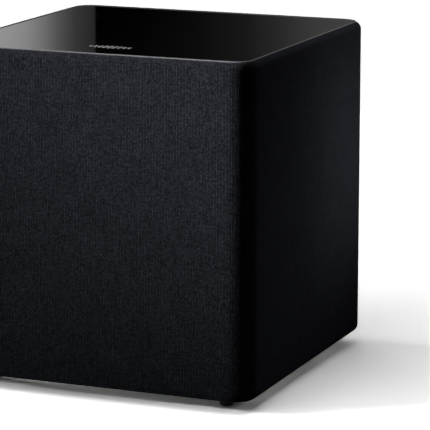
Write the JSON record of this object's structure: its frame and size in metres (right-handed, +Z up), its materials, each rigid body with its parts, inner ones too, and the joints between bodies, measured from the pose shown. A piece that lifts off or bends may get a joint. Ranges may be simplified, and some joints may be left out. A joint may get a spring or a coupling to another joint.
{
  "type": "subwoofer",
  "caption": "Fabric-wrapped cube subwoofer with rounded edges, a gloss top and rubber feet, holding a front-firing driver and a rear plate amplifier.",
  "frame": {"origin": "on the floor, below the middle of the cabinet", "axes": "+Z up, the fabric front faces -Y, the amplifier plate faces +Y, +X is the cabinet's right side seen from the front"},
  "size_m": [0.34, 0.34, 0.353],
  "materials": {
    "cabinet_fabric": "matt knitted cloth",
    "gloss_black": "polished",
    "trim_grey": "satin",
    "badge_silver": "satin",
    "moulded_black": "fine grained",
    "painted_board": "black painted fibreboard",
    "fibreboard": "raw fibreboard",
    "wadding": "polyester fibre",
    "foot_rubber": "matt",
    "zinc_steel": "zinc plated",
    "black_screw": "black oxide",
    "basket_paint": "satin black",
    "soft_gasket": "foam",
    "surround_rubber": "satin",
    "cone_paper": "coated pulp",
    "spider_cloth": "resin treated cloth",
    "coil_former": "polyimide film",
    "copper": "enamelled copper",
    "motor_steel": "zinc plated",
    "ferrite": "ferrite",
    "contact_gold": "gold plated",
    "lead_red": "flexible pvc",
    "amp_paint": "powder coated",
    "sheet_steel": "zinc plated",
    "circuit_board": "solder resist",
    "bare_aluminium": "extruded",
    "winding_yellow": "varnished",
    "capacitor_sleeve": "shrink sleeve",
    "socket_white": "moulded",
    "knob_black": "fine grained",
    "slider_white": "moulded",
    "led_amber": "tinted lens",
    "print_white": "screen printed ink"
  },
  "bodies": {
    "cabinet": {"fabric_sleeve": "cabinet_fabric", "top_trim_bead": "trim_grey", "gloss_top_plate": "gloss_black", "top_badge": "badge_silver", "top_edge_ring": "moulded_black", "base_edge_ring": "moulded_black", "base_cover": "moulded_black", "grille_frame": "painted_board", "rear_frame": "moulded_black", "front_baffle": "fibreboard", "side_panel_left": "fibreboard", "side_panel_right": "fibreboard", "back_panel": "fibreboard", "top_panel": "fibreboard", "bottom_panel": "fibreboard", "window_brace": "fibreboard", "damping_wadding": "wadding", "rubber_feet": "foot_rubber", "foot_washers": "zinc_steel", "foot_screws": "zinc_steel", "driver_basket": "basket_paint", "driver_gasket": "soft_gasket", "front_pole_plate": "motor_steel", "magnet_rings": "ferrite", "pole_yoke": "motor_steel", "shorting_ring": "copper", "driver_terminals": "contact_gold", "driver_screws": "black_screw", "driver_leads": "lead_red", "amp_plate": "amp_paint", "amp_gasket": "soft_gasket", "amp_screws": "black_screw", "amp_housing": "moulded_black", "main_board": "circuit_board", "heat_sink": "bare_aluminium", "transformer": "winding_yellow", "capacitors": "capacitor_sleeve", "line_in_sockets": "contact_gold", "line_in_insulators": "socket_white", "speaker_terminals": "knob_black", "terminal_screws": "zinc_steel", "mains_inlet": "knob_black", "inlet_pins": "zinc_steel", "switch_frame": "knob_black", "control_pots": "sheet_steel", "slide_switch_bodies": "sheet_steel", "status_led": "led_amber", "control_marks": "print_white"},
    "moving_cone": {"paper_cone": "cone_paper", "dust_cap": "cone_paper", "voice_coil_former": "coil_former", "voice_coil_winding": "copper", "cone_surround": "surround_rubber", "spider": "spider_cloth"},
    "volume": {"volume_knob": "knob_black"},
    "crossover": {"crossover_knob": "knob_black"},
    "rocker": {"power_rocker": "knob_black"},
    "phase": {"phase_slider": "slider_white"},
    "eq": {"eq_slider": "slider_white"},
    "mode": {"mode_slider": "slider_white"}
  },
  "joints": [
    {"name": "cone_travel", "type": "slide", "parent": "cabinet", "child": "moving_cone", "axis": [0, -1, 0], "range_m": [-0.012, 0.012], "stiffness_N_per_m": 3000, "deforming": ["cone_surround", "spider"]},
    {"name": "volume_turn", "type": "hinge", "parent": "cabinet", "child": "volume", "pos_m": [0.062, 0.1625, 0.26665], "axis": [0, 1, 0], "range_deg": [-150, 150]},
    {"name": "crossover_turn", "type": "hinge", "parent": "cabinet", "child": "crossover", "pos_m": [0.012, 0.1625, 0.26665], "axis": [0, 1, 0], "range_deg": [-150, 150]},
    {"name": "power_rock", "type": "hinge", "parent": "cabinet", "child": "rocker", "pos_m": [0.016, 0.1555, 0.08465], "axis": [1, 0, 0], "range_deg": [0, 18]},
    {"name": "phase_slide", "type": "slide", "parent": "cabinet", "child": "phase", "axis": [-1, 0, 0], "range_m": [0, 0.004]},
    {"name": "eq_slide", "type": "slide", "parent": "cabinet", "child": "eq", "axis": [-1, 0, 0], "range_m": [-0.002, 0.002]},
    {"name": "mode_slide", "type": "slide", "parent": "cabinet", "child": "mode", "axis": [-1, 0, 0], "range_m": [0, 0.004]}
  ]
}
